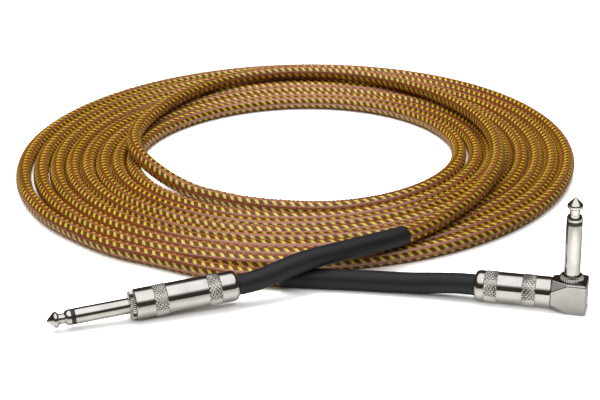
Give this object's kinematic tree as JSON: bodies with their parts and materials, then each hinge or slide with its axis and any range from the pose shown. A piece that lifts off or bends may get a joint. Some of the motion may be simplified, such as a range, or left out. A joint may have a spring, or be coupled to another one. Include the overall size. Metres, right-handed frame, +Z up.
{
  "type": "instrument cable",
  "caption": "Coiled woven-jacket instrument lead with one straight and one right-angle quarter-inch plug, screw-on handles and black boots.",
  "frame": {"origin": "on the surface that the cable lies on, below the middle of the box round the two plugs and their boots", "axes": "+Z up, +X from the straight plug's side towards the right-angle plug, +Y from the plugs towards the coil"},
  "size_m": [0.2819, 0.3542, 0.0471],
  "materials": {
    "nickel": "bright nickel plate on brass, polished",
    "black_plastic": "moulded black phenolic, satin gloss",
    "tinned_brass": "stamped brass, tin plated",
    "core_insulation": "natural polyethylene",
    "copper": "twisted bare copper strands",
    "solder": "bright solder",
    "boot_rubber": "black heat-shrink, satin",
    "braid": "woven textile braid, brown ground with yellow flecks",
    "liner_film": "thin insulating tube"
  },
  "bodies": {
    "root": {"straight_tip": "nickel", "straight_tip_insulator": "black_plastic", "straight_sleeve": "nickel", "straight_collar": "nickel", "straight_rear_insulator": "black_plastic", "straight_tip_terminal": "tinned_brass", "straight_ground_terminal": "tinned_brass", "straight_conductor": "core_insulation", "straight_shield_pigtail": "copper", "straight_solder": "solder", "straight_boot": "boot_rubber", "straight_cable_end": "braid", "angled_tip": "nickel", "angled_tip_insulator": "black_plastic", "angled_sleeve": "nickel", "angled_collar": "nickel", "angled_rear_insulator": "black_plastic", "angled_tip_terminal": "tinned_brass", "angled_ground_terminal": "tinned_brass", "angled_conductor": "core_insulation", "angled_shield_pigtail": "copper", "angled_solder": "solder", "angled_boot": "boot_rubber", "angled_cable_end": "braid", "angled_housing": "nickel", "cable_coil": "braid", "straight_lead": "braid", "angled_lead": "braid"},
    "straight_liner": {"straight_liner": "liner_film"},
    "straight_handle": {"straight_handle": "nickel"},
    "angled_liner": {"angled_liner": "liner_film"},
    "angled_handle": {"angled_handle": "nickel"}
  },
  "joints": [
    {"name": "straight_handle_slide", "type": "slide", "parent": "root", "child": "straight_liner", "axis": [0.9566, 0.287, 0.0506], "range_m": [0, 0.0057]},
    {"name": "straight_handle_turn", "type": "hinge", "parent": "straight_liner", "child": "straight_handle", "pos_m": [-0.05661, -0.01555, 0.00719], "axis": [0.9566, 0.287, 0.0506], "range_deg": [0, 2520]},
    {"name": "angled_handle_slide", "type": "slide", "parent": "root", "child": "angled_liner", "axis": [-0.9588, 0.284, 0], "range_m": [0, 0.0057]},
    {"name": "angled_handle_turn", "type": "hinge", "parent": "angled_liner", "child": "angled_handle", "pos_m": [0.07458, -0.0128, 0.0063], "axis": [-0.9588, 0.284, 0], "range_deg": [0, 2520]}
  ],
  "couplings": [
    {"joint": "straight_handle_slide", "follows": "straight_handle_turn", "m_per_rad": 0.00012732},
    {"joint": "angled_handle_slide", "follows": "angled_handle_turn", "m_per_rad": 0.00012732}
  ]
}
